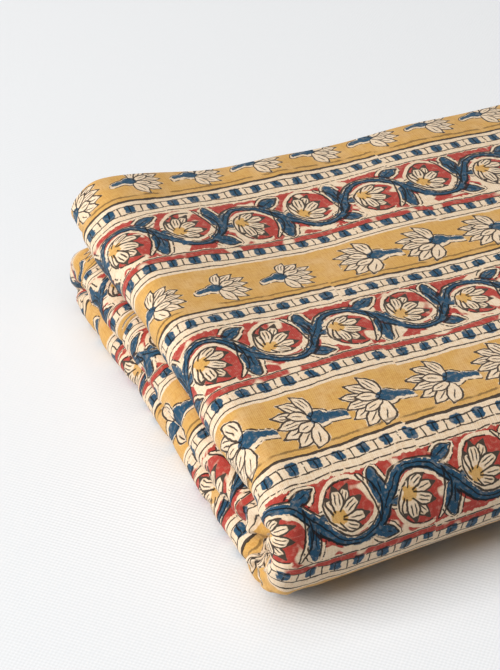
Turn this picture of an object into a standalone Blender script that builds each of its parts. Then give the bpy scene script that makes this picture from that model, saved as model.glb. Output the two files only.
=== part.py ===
"""Folded kalamkari panel: one block-printed cotton cloth, folded into a soft rectangular pad.

The cloth is doubled twice across its stripes, which gives a strip of four plies whose folds lie
one inside the other at the left end. The strip is then folded in three along the stripes: a core
panel lies inside, the cloth turns under it round the far edge into the bottom panel, and turns
round the near edge into the top panel.

Units are metres, +Z is up, the stripes run along +X and the near edge faces -Y. The origin is
the middle of the pad's footprint, on the surface it lies on.
"""

from collections import namedtuple

import bpy
import numpy as np

MM = 0.001

# Sizes of the pad
LENGTH = 290 * MM            # along the stripes, from the longest fold to the furthest ply end
DEPTH = 196 * MM             # near edge to far edge
PLY = 2.6 * MM               # a ply of the pad, which stands for a few thin layers of cotton
PLY_SHARE = 0.205            # of the four plies' thickness, where they are pressed closer
PANEL_GAP = 0.8 * MM         # between the three panels
LEFT = -LENGTH / 2
RIGHT = LENGTH / 2
NEAR = -DEPTH / 2
FAR = DEPTH / 2

# The three panels, from the table up. The thickness is the four plies with the air between them,
# at the left folds by the near edge, at the left folds by the far edge, in the flat part, and at
# the right end. The nose columns say how far each left fold stays back from the longest one.
Panel = namedtuple("Panel", "near_fold far_fold flat right_end nose_near nose_mid nose_far")
BOTTOM = Panel(12.9 * MM, 14.0 * MM, 13.2 * MM, 12.7 * MM, 0.6 * MM, 2.6 * MM, 0.6 * MM)
CORE = Panel(13.6 * MM, 16.2 * MM, 13.9 * MM, 12.7 * MM, 2.2 * MM, 1.6 * MM, 0.0 * MM)
TOP = Panel(19.0 * MM, 21.6 * MM, 20.2 * MM, 13.4 * MM, 2.6 * MM, 3.6 * MM, 2.8 * MM)

FOLD_PUFF = 62 * MM          # how far from the left end the folds' extra fullness reaches
RIGHT_EASE = 120 * MM        # stretch at the right end over which the plies settle on each other

# The turn under the core at the far edge
FAR_TURN_FULLNESS = 1.03     # its depth, as a share of half its height
FAR_TURN_PANEL = 12.2 * MM   # thickness of the four plies as they go round it
FAR_TURN_SLACK = 0.4 * MM    # and at least this much less than the flat part
FAR_TURN_INSET = 1.0 * MM    # how far it stays back from the pad's furthest edge

# The turn from the bottom up to the top panel, round the near edge. Its depths are shares of the
# pad's height there.
NEAR_TURN_OVER = 0.56        # of its upper half
NEAR_TURN_UNDER = 0.69       # of its lower half, which lifts off the table sooner
NEAR_TURN_CORNER = 0.57      # of its lower half at the left end, where the corner sags
NEAR_TURN_CORNER_LENGTH = 95 * MM
NEAR_TURN_PANEL = 13.2 * MM

# Free ends
CORE_END_FROM_NEAR = 19 * MM     # the core panel stops inside the near turn
CORE_END_PANEL = 8.8 * MM        # thickness of its four plies there, pressed together
CORE_END_INSET = 3 * MM          # its left fold is drawn in
CORE_END_LIFT = 1.6 * MM         # and it rides up on the turn
CORE_END_EASE = 13 * MM
TOP_END_DROP = 2.2 * MM          # the top panel's far end settles by this much, less at the left
TOP_END_EASE = 26 * MM
TOP_END_INSET = 1.6 * MM         # and its left fold is drawn in
TOP_END_INSET_EASE = 16 * MM
TOP_END_SKEW = 7 * MM            # its far edge runs back towards the right by this much
TOP_END_SKEW_LENGTH = 80 * MM
PLY_ENDS = (3.0 * MM, 8.0 * MM)  # how far the first and second plies stop short at the right

# Soft waves of the top: height, length along X and along Y, and phase in turns. They start this
# far from the near edge and are full after the second length.
WAVES_START = 30 * MM
WAVES_EASE = 50 * MM
Wave = namedtuple("Wave", "height along across phase")
TOP_WAVES = (
    Wave(0.45 * MM, 150 * MM, 240 * MM, 0.15),
    Wave(0.35 * MM, -95 * MM, 130 * MM, 0.60),
    Wave(0.20 * MM, 61 * MM, -88 * MM, 0.35),
)
# Unevenness of the left folds, in the same columns; along isn't used
NOSE_WAVES = (
    Wave(0.5 * MM, 1, 92 * MM, 0.10),
    Wave(0.3 * MM, 1, 51 * MM, 0.55),
)

# Steps of the mesh
Steps = namedtuple("Steps", "core far_turn bottom near_turn top")
PATH_STEPS = Steps(core=9, far_turn=9, bottom=8, near_turn=12, top=13)
OUTER_PLY_POINTS = 8
INNER_PLY_POINTS = 6
OUTER_FOLD_POINTS = 10
INNER_FOLD_POINTS = 6
CORE_STEP_POWER = 1.6        # closer steps towards the core's pressed end

CLOTH_COLOUR = (0.64, 0.42, 0.16, 1.0)


def smooth(value):
    """Ease from 0 to 1 as value goes from 0 to 1, flat at both ends."""
    held = np.clip(value, 0.0, 1.0)
    return held * held * (3.0 - 2.0 * held)


def along_depth(y):
    """0 at the near edge, 1 at the far edge."""
    return np.clip((y - NEAR) / DEPTH, 0.0, 1.0)


def waves(table, x, y):
    """Sum of the table's soft sine waves at x, y."""
    total = np.zeros(np.broadcast(x, y).shape)
    for wave in table:
        turns = x / wave.along + y / wave.across + wave.phase
        total = total + wave.height * np.sin(2.0 * np.pi * turns)
    return total


def panel_thickness(panel, x, y):
    """Thickness of a panel: full at the left folds, flat in the middle, thin at the right."""
    fold = panel.near_fold + (panel.far_fold - panel.near_fold) * smooth(along_depth(y))
    at_fold = 1.0 - smooth((x - LEFT) / FOLD_PUFF)
    at_right = smooth((x - (RIGHT - RIGHT_EASE)) / RIGHT_EASE)
    flat = panel.flat + (panel.right_end - panel.flat) * at_right
    return flat + (fold - flat) * at_fold


def nose_inset(panel, y):
    """How far the panel's left fold stays back from the pad's left end."""
    depth = along_depth(y)
    bow = 4.0 * depth * (1.0 - depth)
    ends = panel.nose_near + (panel.nose_far - panel.nose_near) * depth
    middle = (panel.nose_near + panel.nose_far) / 2
    return ends + (panel.nose_mid - middle) * bow


def core_top(x, y):
    """Height of the core panel's upper face."""
    return panel_thickness(BOTTOM, x, y) + PANEL_GAP + panel_thickness(CORE, x, y)


def pad_top(x, y):
    """Height of the top panel's upper face, with its soft waves and its settled far end."""
    at_end = smooth((y - (FAR - TOP_END_EASE)) / TOP_END_EASE) ** 2
    drop = TOP_END_DROP * at_end * smooth((x - LEFT) / FOLD_PUFF)
    inland = smooth((y - NEAR - WAVES_START) / WAVES_EASE)
    full = core_top(x, y) + PANEL_GAP + panel_thickness(TOP, x, y)
    return full - drop + waves(TOP_WAVES, x, y) * inland


def turn(height, centre, depth, angle):
    """Half an ellipse that stands on the table: its point and its outward direction."""
    half = height / 2
    y = centre + depth * np.cos(angle)
    z = half + half * np.sin(angle)
    across = np.cos(angle) / depth
    up = np.sin(angle) / half
    size = np.hypot(across, up)
    return y, z, across / size, up / size


def mix_evenly(first, second, share):
    """Blend from first to second in a straight line."""
    return first + (second - first) * share


def mix(first, second, share):
    """Blend from first to second, eased at both ends."""
    return mix_evenly(first, second, smooth(share))


def shares(steps):
    """Evenly spaced shares of a stretch, with its end left to the next stretch."""
    return np.linspace(0.0, 1.0, steps, endpoint=False)


# A place on the outer face of the strip, the way that face looks, the thickness of the four plies
# under it, and how far their left fold stays back
Station = namedtuple("Station", "y z out_y out_z thickness inset")


def far_turn_place(x):
    """Centre and depth of the turn at the far edge."""
    depth = FAR_TURN_FULLNESS * core_top(x, FAR) / 2
    return FAR - FAR_TURN_INSET - depth, depth


def near_turn_depths(x):
    """Depths of the upper and the lower half of the turn at the near edge."""
    height = pad_top(x, NEAR)
    lower = mix(NEAR_TURN_CORNER, NEAR_TURN_UNDER, (x - LEFT) / NEAR_TURN_CORNER_LENGTH)
    return NEAR_TURN_OVER * height, lower * height


def core_stations(x):
    """The core's outer face, on its upper side, from its pressed end to the far turn."""
    end = NEAR + CORE_END_FROM_NEAR
    far_centre, _ = far_turn_place(x)
    for share in shares(PATH_STEPS.core) ** CORE_STEP_POWER:
        y = end + (far_centre - end) * share
        pressed = 1.0 - smooth((y - end) / CORE_END_EASE)
        full = panel_thickness(CORE, x, y)
        thickness = full + (CORE_END_PANEL - full) * pressed
        height = core_top(x, y) - (full - thickness) / 2 + CORE_END_LIFT * pressed
        yield Station(y, height, 0.0, 1.0, thickness, nose_inset(CORE, y) + CORE_END_INSET * pressed)


def far_turn_stations(x):
    """Down round the far edge, from the core to the bottom panel."""
    centre, depth = far_turn_place(x)
    height = core_top(x, centre)
    for share in shares(PATH_STEPS.far_turn):
        flat = panel_thickness(CORE if share < 0.5 else BOTTOM, x, centre)
        thin = np.minimum(FAR_TURN_PANEL, flat - FAR_TURN_SLACK)
        thickness = mix(flat, thin, 1.0 - abs(2.0 * share - 1.0))
        inset = mix(nose_inset(CORE, FAR), nose_inset(BOTTOM, FAR), share)
        yield Station(*turn(height, centre, depth, np.pi * (0.5 - share)), thickness, inset)


def bottom_stations(x):
    """The bottom panel's outer face, flat on the table, from the far edge to the near one."""
    far_centre, _ = far_turn_place(x)
    _, under_depth = near_turn_depths(x)
    for share in shares(PATH_STEPS.bottom):
        y = mix_evenly(far_centre, NEAR + under_depth, share)
        yield Station(y, 0.0, 0.0, -1.0, panel_thickness(BOTTOM, x, y), nose_inset(BOTTOM, y))


def near_turn_stations(x):
    """Up round the near edge, from the bottom panel to the top one."""
    over_depth, under_depth = near_turn_depths(x)
    height = pad_top(x, NEAR + over_depth)
    for share in shares(PATH_STEPS.near_turn):
        panel, depth = (BOTTOM, under_depth) if share < 0.5 else (TOP, over_depth)
        flat = panel_thickness(panel, x, NEAR + over_depth)
        thickness = mix(flat, NEAR_TURN_PANEL, 1.0 - abs(2.0 * share - 1.0))
        inset = mix(nose_inset(BOTTOM, NEAR), nose_inset(TOP, NEAR), share)
        angle = -np.pi * (0.5 + share)
        yield Station(*turn(height, NEAR + depth, depth, angle), thickness, inset)


def top_stations(x):
    """The top panel's outer face, from the near turn to its free end by the far edge."""
    over_depth, _ = near_turn_depths(x)
    end = FAR - TOP_END_SKEW * smooth((x - LEFT) / TOP_END_SKEW_LENGTH)
    for share in np.linspace(0.0, 1.0, PATH_STEPS.top):
        y = mix_evenly(NEAR + over_depth, end, share)
        height = pad_top(x, y)
        drawn_in = smooth((y - (FAR - TOP_END_INSET_EASE)) / TOP_END_INSET_EASE)
        inset = nose_inset(TOP, y) + TOP_END_INSET * drawn_in
        yield Station(y, height, 0.0, 1.0, height - core_top(x, y) - PANEL_GAP, inset)


def stations(x):
    """Outer face of the whole strip at each x, as one array of stations by x for each value."""
    rows = []
    for stretch in (core_stations, far_turn_stations, bottom_stations, near_turn_stations,
                    top_stations):
        for station in stretch(x):
            rows.append([np.broadcast_to(value, x.shape) for value in station])
    return Station(*np.array(rows).transpose(1, 0, 2))


# A point on the middle line of the plies in one section. Its run goes from 0 at the left fold's
# centre to 1 at the right end. Its level counts plies up from the middle of the four, and bulge is
# how far a fold carries it along X, in plies too. Short is how far its ply stops short at the
# right. The last two say which way the cloth's first face looks.
SectionPoint = namedtuple("SectionPoint", "run level bulge short face_x face_level")


def ply(level, start, end, count, face, short=0.0):
    """A straight ply at its level, from one run to another."""
    return [SectionPoint(r, level, 0.0, short, 0.0, face) for r in np.linspace(start, end, count)]


def fold(run_at, level, radius, towards, first, count, face):
    """Half a turn about a centre, from above or below it (first 1 or -1), bulging towards X."""
    points = []
    for angle in np.linspace(0.0, np.pi, count + 2)[1:-1]:
        out_x = towards * np.sin(angle)
        up = first * np.cos(angle)
        points.append(SectionPoint(
            run_at, level + radius * up, radius * out_x, 0.0, face * out_x, face * up))
    return points


def section():
    """Middle line of the four plies, from the top ply's free end to the second ply's."""
    points = ply(1.5, 1.0, 0.0, OUTER_PLY_POINTS, face=1.0, short=PLY_ENDS[0])
    points += fold(0.0, 0.0, 1.5, -1.0, 1.0, OUTER_FOLD_POINTS, face=1.0)
    points += ply(-1.5, 0.0, 1.0, OUTER_PLY_POINTS, face=-1.0)
    points += fold(1.0, -1.0, 0.5, 1.0, -1.0, INNER_FOLD_POINTS, face=1.0)
    points += ply(-0.5, 1.0, 0.0, INNER_PLY_POINTS, face=1.0)
    points += fold(0.0, 0.0, 0.5, -1.0, -1.0, INNER_FOLD_POINTS, face=-1.0)
    points += ply(0.5, 0.0, 1.0, INNER_PLY_POINTS, face=-1.0, short=PLY_ENDS[1])
    return SectionPoint(*np.array(points).T)


def cloth_points():
    """Corner points of the folded cloth: stations by section points by its two faces by xyz."""
    line = section()
    face = stations(LEFT + LENGTH * line.run)
    ply_thickness = np.minimum(PLY, face.thickness * PLY_SHARE)
    pitch = (face.thickness - ply_thickness) / 3
    at_fold = [int(np.argmin(line.run))]
    back = face.inset + waves(NOSE_WAVES, 0.0, face.y)
    left = LEFT + (back + face.thickness / 2)[:, at_fold]
    right = RIGHT - ply_thickness / 2 - pitch / 2 - line.short
    middle = left + (right - left) * line.run + line.bulge * pitch
    faces = []
    for half in (ply_thickness / 2, -ply_thickness / 2):
        depth = face.thickness / 2 - line.level * pitch - half * line.face_level
        x = middle + half * line.face_x
        faces.append(np.stack([x, face.y - face.out_y * depth, face.z - face.out_z * depth], -1))
    return np.stack(faces, axis=2)


def cloth_mesh():
    """Close the folded cloth: its two faces, its two long edges and its two end faces."""
    points = cloth_points()
    rows, columns = points.shape[:2]
    index = np.arange(rows * columns * 2).reshape(rows, columns, 2)
    outline = np.concatenate([index[:, :, 0], index[:, ::-1, 1]], axis=1)
    next_column = np.roll(outline, -1, axis=1)
    walls = np.stack([outline[:-1], outline[1:], next_column[1:], next_column[:-1]], axis=-1)
    caps = []
    for row, order in ((0, 1), (rows - 1, -1)):
        strip = index[row]
        cap = np.stack([strip[:-1, 0], strip[1:, 0], strip[1:, 1], strip[:-1, 1]], axis=-1)
        caps.append(cap[:, ::order])
    faces = np.concatenate([walls.reshape(-1, 4)] + caps)
    mesh = bpy.data.meshes.new("folded_cloth")
    mesh.from_pydata(points.reshape(-1, 3).tolist(), [], faces.tolist())
    mesh.update()
    return mesh


def cotton_material():
    """Matt printed cotton, in the ochre of its widest stripe."""
    material = bpy.data.materials.new("printed_cotton")
    material.use_nodes = True
    shader = material.node_tree.nodes["Principled BSDF"]
    shader.inputs["Base Color"].default_value = CLOTH_COLOUR
    shader.inputs["Roughness"].default_value = 0.9
    shader.inputs["Metallic"].default_value = 0.0
    return material


def main():
    """Clear the scene and build the folded cloth."""
    for old in list(bpy.data.objects):
        bpy.data.objects.remove(old)
    mesh = cloth_mesh()
    mesh.materials.append(cotton_material())
    mesh.shade_smooth()
    cloth = bpy.data.objects.new("folded_cloth", mesh)
    bpy.context.collection.objects.link(cloth)


main()
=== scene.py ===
"""Looks of the folded kalamkari panel: one block-printed cotton cloth in a soft rectangular pad.

The cloth is a thin sheet on the folds of its solid. It is doubled twice across its stripes and
folded in three along them. Its print, ink, weave and creases follow the cloth, so a motif runs
round a fold as it does on the real thing. Sizes are in metres, +Z is up, the stripes run along +X
and the near edge faces -Y.
"""

import logging
import math
from dataclasses import dataclass
from enum import Enum
from functools import partial, reduce
from typing import Iterator, NamedTuple

import bpy
import numpy as np
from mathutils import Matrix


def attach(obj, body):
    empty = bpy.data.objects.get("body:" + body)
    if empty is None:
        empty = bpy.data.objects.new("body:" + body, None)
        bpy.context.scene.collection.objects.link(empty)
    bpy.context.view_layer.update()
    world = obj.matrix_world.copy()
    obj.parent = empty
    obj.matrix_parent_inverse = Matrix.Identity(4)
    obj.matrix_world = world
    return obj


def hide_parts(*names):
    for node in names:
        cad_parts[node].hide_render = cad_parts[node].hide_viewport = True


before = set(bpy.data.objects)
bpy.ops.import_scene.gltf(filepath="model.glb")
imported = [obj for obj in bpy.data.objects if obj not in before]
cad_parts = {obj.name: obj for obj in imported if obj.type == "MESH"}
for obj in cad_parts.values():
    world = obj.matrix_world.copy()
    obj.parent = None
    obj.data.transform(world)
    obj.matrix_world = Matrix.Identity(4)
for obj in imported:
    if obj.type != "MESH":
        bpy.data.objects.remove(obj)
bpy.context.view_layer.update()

MM = 0.001
LOG = logging.getLogger("folded_kalamkari")
CLOTH_NODE = "folded_cloth"
CLOTH_MAP = "cloth"
INK_ATTRIBUTE = "ink"
PLY_GAPS = 3


def smooth(value: np.ndarray | float) -> np.ndarray:
    """Ease from 0 to 1 as value goes from 0 to 1, flat at both ends: 3t^2 - 2t^3."""
    held = np.clip(value, 0.0, 1.0)
    return held * held * (3.0 - 2.0 * held)


def ease(value: np.ndarray | float, start: float, length: float) -> np.ndarray:
    """Ease from 0 at a start to 1 one length further on."""
    return smooth((value - start) / length)


def mix(first: np.ndarray | float, second: np.ndarray | float, share: np.ndarray | float) -> np.ndarray:
    """Blend from first to second, eased at both ends."""
    return first + (second - first) * smooth(share)


def shares(steps: int) -> np.ndarray:
    """Evenly spaced shares of a stretch, with its end left to the next stretch."""
    return np.linspace(0.0, 1.0, steps, endpoint=False)


def linked(name: str, data: bpy.types.ID) -> bpy.types.Object:
    """Put a mesh, lamp or camera into the scene.

    Args:
        name: its object's name.
        data: the mesh, lamp or camera.

    Returns:
        Its object.
    """
    item = bpy.data.objects.new(name, data)
    bpy.context.scene.collection.objects.link(item)
    return item


@dataclass(frozen=True)
class Wave:
    """A soft sine wave of the cloth: its height, its lengths along X and Y, and its phase in turns."""

    height: float
    along: float
    across: float
    phase: float

    def at(self, x: np.ndarray | float, y: np.ndarray) -> np.ndarray:
        """Height of the wave at x, y."""
        return self.height * np.sin(2.0 * np.pi * (x / self.along + y / self.across + self.phase))


@dataclass(frozen=True)
class Panel:
    """One of the strip's three panels: four plies with the air between them.

    The thickness is given at the left folds by the near and the far edge, in the flat part and at
    the right end. The nose values say how far the left fold stays back from the longest one.
    """

    near_fold: float
    far_fold: float
    flat: float
    right_end: float
    nose_near: float
    nose_mid: float
    nose_far: float


class Station(NamedTuple):
    """Places on the strip's outer face, the way it looks, the thickness under it and its fold's inset."""

    y: np.ndarray
    z: np.ndarray
    out_y: np.ndarray
    out_z: np.ndarray
    thickness: np.ndarray
    inset: np.ndarray


@dataclass(frozen=True)
class PathSteps:
    """How many rows of the mesh each stretch of the strip's path takes."""

    core: int = 78
    far_turn: int = 30
    bottom: int = 66
    near_turn: int = 62
    top: int = 90


@dataclass(frozen=True)
class Pad:
    """The folded pad: its sizes, and the outer face of the strip that is folded in three."""

    length: float = 290 * MM
    depth: float = 196 * MM
    ply: float = 2.6 * MM
    ply_share: float = 0.205
    panel_gap: float = 0.8 * MM
    bottom: Panel = Panel(12.9 * MM, 14.0 * MM, 13.2 * MM, 12.7 * MM, 0.6 * MM, 2.6 * MM, 0.6 * MM)
    core: Panel = Panel(13.6 * MM, 16.2 * MM, 13.9 * MM, 12.7 * MM, 2.2 * MM, 1.6 * MM, 0.0 * MM)
    top: Panel = Panel(19.0 * MM, 21.6 * MM, 20.2 * MM, 13.4 * MM, 2.6 * MM, 3.6 * MM, 2.8 * MM)
    fold_puff: float = 62 * MM
    right_ease: float = 120 * MM
    far_turn_fullness: float = 1.03
    far_turn_panel: float = 12.2 * MM
    far_turn_slack: float = 0.4 * MM
    far_turn_inset: float = 1.0 * MM
    near_turn_over: float = 0.56
    near_turn_under: float = 0.69
    near_turn_corner: float = 0.57
    near_turn_corner_length: float = 95 * MM
    near_turn_panel: float = 13.2 * MM
    core_end_from_near: float = 19 * MM
    core_end_panel: float = 8.8 * MM
    core_end_inset: float = 3 * MM
    core_end_lift: float = 1.6 * MM
    core_end_ease: float = 13 * MM
    core_step_power: float = 1.6
    top_end_drop: float = 2.2 * MM
    top_end_ease: float = 26 * MM
    top_end_inset: float = 1.6 * MM
    top_end_inset_ease: float = 16 * MM
    top_end_skew: float = 7 * MM
    top_end_skew_length: float = 80 * MM
    ply_ends: tuple[float, float] = (3.0 * MM, 8.0 * MM)
    waves_start: float = 30 * MM
    waves_ease: float = 50 * MM
    top_waves: tuple[Wave, ...] = (
        Wave(0.45 * MM, 150 * MM, 240 * MM, 0.15),
        Wave(0.35 * MM, -95 * MM, 130 * MM, 0.60),
        Wave(0.20 * MM, 61 * MM, -88 * MM, 0.35),
    )
    nose_waves: tuple[Wave, ...] = (
        Wave(0.5 * MM, 1.0, 92 * MM, 0.10),
        Wave(0.3 * MM, 1.0, 51 * MM, 0.55),
    )
    steps: PathSteps = PathSteps()

    @property
    def left(self) -> float:
        """X of the left end."""
        return -self.length / 2

    @property
    def right(self) -> float:
        """X of the right end."""
        return self.length / 2

    @property
    def near(self) -> float:
        """Y of the near edge."""
        return -self.depth / 2

    @property
    def far(self) -> float:
        """Y of the far edge."""
        return self.depth / 2

    def along_depth(self, y: np.ndarray | float) -> np.ndarray:
        """0 at the near edge, 1 at the far edge."""
        return np.clip((y - self.near) / self.depth, 0.0, 1.0)

    def panel_thickness(self, panel: Panel, x: np.ndarray, y: np.ndarray | float) -> np.ndarray:
        """Thickness of a panel: full at the left folds, flat in the middle, thin at the right.

        Args:
            panel: the panel's sizes.
            x: place along the stripes.
            y: place across them.

        Returns:
            Its thickness in metres.
        """
        fold = panel.near_fold + (panel.far_fold - panel.near_fold) * smooth(self.along_depth(y))
        at_fold = 1.0 - ease(x, self.left, self.fold_puff)
        at_right = ease(x, self.right - self.right_ease, self.right_ease)
        flat = panel.flat + (panel.right_end - panel.flat) * at_right
        return flat + (fold - flat) * at_fold

    def nose_inset(self, panel: Panel, y: np.ndarray | float) -> np.ndarray:
        """How far the panel's left fold stays back: a straight line from near to far, bowed between."""
        depth = self.along_depth(y)
        bow = 4.0 * depth * (1.0 - depth)
        ends = panel.nose_near + (panel.nose_far - panel.nose_near) * depth
        return ends + (panel.nose_mid - (panel.nose_near + panel.nose_far) / 2) * bow

    def core_top(self, x: np.ndarray, y: np.ndarray | float) -> np.ndarray:
        """Height of the core panel's upper face."""
        return (self.panel_thickness(self.bottom, x, y) + self.panel_gap
                + self.panel_thickness(self.core, x, y))

    def pad_top(self, x: np.ndarray, y: np.ndarray | float) -> np.ndarray:
        """Height of the top panel's upper face, with its soft waves and its settled far end."""
        at_end = ease(y, self.far - self.top_end_ease, self.top_end_ease) ** 2
        drop = self.top_end_drop * at_end * ease(x, self.left, self.fold_puff)
        inland = ease(y, self.near + self.waves_start, self.waves_ease)
        waves = sum(wave.at(x, y) for wave in self.top_waves)
        full = self.core_top(x, y) + self.panel_gap + self.panel_thickness(self.top, x, y)
        return full - drop + waves * inland

    @staticmethod
    def turn(height: np.ndarray, centre: np.ndarray, depth: np.ndarray,
             angle: float) -> tuple[np.ndarray, np.ndarray, np.ndarray, np.ndarray]:
        """Half an ellipse that stands on the table.

        Args:
            height: its full height.
            centre: Y of its middle.
            depth: how far it reaches out from there.
            angle: place on it, from the top at a quarter turn to the table at minus a quarter.

        Returns:
            Its y and z and the y and z of its outward direction.
        """
        half = height / 2
        across = np.cos(angle) / depth
        up = np.sin(angle) / half
        size = np.hypot(across, up)
        return centre + depth * np.cos(angle), half + half * np.sin(angle), across / size, up / size

    def far_turn_place(self, x: np.ndarray) -> tuple[np.ndarray, np.ndarray]:
        """Centre and depth of the turn at the far edge."""
        depth = self.far_turn_fullness * self.core_top(x, self.far) / 2
        return self.far - self.far_turn_inset - depth, depth

    def near_turn_depths(self, x: np.ndarray) -> tuple[np.ndarray, np.ndarray]:
        """Depths of the upper and the lower half of the turn at the near edge."""
        height = self.pad_top(x, self.near)
        share = (x - self.left) / self.near_turn_corner_length
        return self.near_turn_over * height, mix(self.near_turn_corner, self.near_turn_under, share) * height

    def core_stations(self, x: np.ndarray) -> Iterator[Station]:
        """The core's outer face, on its upper side, from its pressed end to the far turn."""
        end = self.near + self.core_end_from_near
        far_centre, _ = self.far_turn_place(x)
        for share in shares(self.steps.core) ** self.core_step_power:
            y = end + (far_centre - end) * share
            pressed = 1.0 - ease(y, end, self.core_end_ease)
            full = self.panel_thickness(self.core, x, y)
            thickness = full + (self.core_end_panel - full) * pressed
            height = self.core_top(x, y) - (full - thickness) / 2 + self.core_end_lift * pressed
            inset = self.nose_inset(self.core, y) + self.core_end_inset * pressed
            yield Station(y, height, 0.0, 1.0, thickness, inset)

    def far_turn_stations(self, x: np.ndarray) -> Iterator[Station]:
        """Down round the far edge, from the core to the bottom panel."""
        centre, depth = self.far_turn_place(x)
        height = self.core_top(x, centre)
        for share in shares(self.steps.far_turn):
            flat = self.panel_thickness(self.core if share < 0.5 else self.bottom, x, centre)
            thin = np.minimum(self.far_turn_panel, flat - self.far_turn_slack)
            thickness = mix(flat, thin, 1.0 - abs(2.0 * share - 1.0))
            inset = mix(self.nose_inset(self.core, self.far), self.nose_inset(self.bottom, self.far), share)
            yield Station(*self.turn(height, centre, depth, np.pi * (0.5 - share)), thickness, inset)

    def bottom_stations(self, x: np.ndarray) -> Iterator[Station]:
        """The bottom panel's outer face, flat on the table, from the far edge to the near one."""
        far_centre, _ = self.far_turn_place(x)
        _, under_depth = self.near_turn_depths(x)
        for share in shares(self.steps.bottom):
            y = far_centre + (self.near + under_depth - far_centre) * share
            yield Station(y, 0.0, 0.0, -1.0, self.panel_thickness(self.bottom, x, y),
                          self.nose_inset(self.bottom, y))

    def near_turn_stations(self, x: np.ndarray) -> Iterator[Station]:
        """Up round the near edge, from the bottom panel to the top one."""
        over_depth, under_depth = self.near_turn_depths(x)
        height = self.pad_top(x, self.near + over_depth)
        for share in shares(self.steps.near_turn):
            panel, depth = (self.bottom, under_depth) if share < 0.5 else (self.top, over_depth)
            flat = self.panel_thickness(panel, x, self.near + over_depth)
            thickness = mix(flat, self.near_turn_panel, 1.0 - abs(2.0 * share - 1.0))
            inset = mix(self.nose_inset(self.bottom, self.near), self.nose_inset(self.top, self.near), share)
            yield Station(*self.turn(height, self.near + depth, depth, -np.pi * (0.5 + share)),
                          thickness, inset)

    def top_stations(self, x: np.ndarray) -> Iterator[Station]:
        """The top panel's outer face, from the near turn to its free end by the far edge."""
        over_depth, _ = self.near_turn_depths(x)
        end = self.far - self.top_end_skew * ease(x, self.left, self.top_end_skew_length)
        for share in np.linspace(0.0, 1.0, self.steps.top):
            y = self.near + over_depth + (end - self.near - over_depth) * share
            height = self.pad_top(x, y)
            drawn_in = ease(y, self.far - self.top_end_inset_ease, self.top_end_inset_ease)
            inset = self.nose_inset(self.top, y) + self.top_end_inset * drawn_in
            yield Station(y, height, 0.0, 1.0, height - self.core_top(x, y) - self.panel_gap, inset)

    def stations(self, x: np.ndarray) -> Station:
        """Outer face of the whole strip at each x, as arrays of stations by x."""
        rows = []
        for stretch in (self.core_stations, self.far_turn_stations, self.bottom_stations,
                        self.near_turn_stations, self.top_stations):
            rows += [[np.broadcast_to(value, x.shape) for value in station] for station in stretch(x)]
        return Station(*np.array(rows).transpose(1, 0, 2))


class PlyLine(NamedTuple):
    """Points on the middle line of the four plies in one section.

    The run goes from 0 at the left fold's centre to 1 at the right end. The level counts plies up
    from the middle of the four, so they lie at 1.5, 0.5, -0.5 and -1.5, and bulge is how far a fold
    carries the point along X, in plies too. Short is how far its ply stops short at the right. The
    last two say which way the cloth's printed face looks.
    """

    run: np.ndarray
    level: np.ndarray
    bulge: np.ndarray
    short: np.ndarray
    face_x: np.ndarray
    face_level: np.ndarray


@dataclass(frozen=True)
class Plies:
    """The strip's section: four plies, one cloth, whose folds lie one inside the other."""

    outer_ply: int = 76
    under_ply: int = 14
    inner_ply: int = 8
    outer_fold: int = 24
    inner_fold: int = 6
    crowding: float = 1.35

    def ply(self, level: float, start: float, end: float, count: int, face: float,
            short: float = 0.0) -> np.ndarray:
        """A straight ply at its level, its points closer together by the left folds: run = t^crowding."""
        run = np.linspace(start, end, count) ** self.crowding
        still = np.zeros(count)
        return np.array([run, still + level, still, still + short, still, still + face])

    @staticmethod
    def fold(run_at: float, level: float, radius: float, towards: float, first: float, count: int,
             face: float) -> np.ndarray:
        """Half a turn about a centre, from above or below it (first 1 or -1), bulging towards X."""
        angle = np.linspace(0.0, np.pi, count + 2)[1:-1]
        out_x, up = towards * np.sin(angle), first * np.cos(angle)
        still = np.zeros(count)
        return np.array([still + run_at, level + radius * up, radius * out_x, still, face * out_x, face * up])

    def line(self, ply_ends: tuple[float, float]) -> PlyLine:
        """Middle line of the four plies, from the top ply's free end to the second ply's."""
        return PlyLine(*np.concatenate([
            self.ply(1.5, 1.0, 0.0, self.outer_ply, face=1.0, short=ply_ends[0]),
            self.fold(0.0, 0.0, 1.5, -1.0, 1.0, self.outer_fold, face=1.0),
            self.ply(-1.5, 0.0, 1.0, self.under_ply, face=-1.0),
            self.fold(1.0, -1.0, 0.5, 1.0, -1.0, self.inner_fold, face=1.0),
            self.ply(-0.5, 1.0, 0.0, self.inner_ply, face=1.0),
            self.fold(0.0, 0.0, 0.5, -1.0, -1.0, self.inner_fold, face=-1.0),
            self.ply(0.5, 0.0, 1.0, self.inner_ply, face=-1.0, short=ply_ends[1]),
        ], axis=1))


@dataclass(frozen=True)
class Crease:
    """A soft trough pressed into the top or front: its ends as x and place across, width and depth."""

    start: tuple[float, float]
    end: tuple[float, float]
    half_width: float
    depth: float

    def at(self, x: np.ndarray, across: np.ndarray) -> np.ndarray:
        """Depth at a place: a bell curve of the distance to the crease, fading towards its ends."""
        run, rise = self.end[0] - self.start[0], self.end[1] - self.start[1]
        length = math.hypot(run, rise)
        dx, dy = x - self.start[0], across - self.start[1]
        share = (dx * run + dy * rise) / length ** 2
        off = (dy * run - dx * rise) / length
        fade = smooth(2.0 - 2.0 * np.abs(2.0 * share - 1.0))
        return self.depth * fade * np.exp(-(off / self.half_width) ** 2)


class Pucker(NamedTuple):
    """A place across the cloth where its left folds are drawn in, how wide and how deep."""

    across: float
    half_width: float
    depth: float


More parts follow.
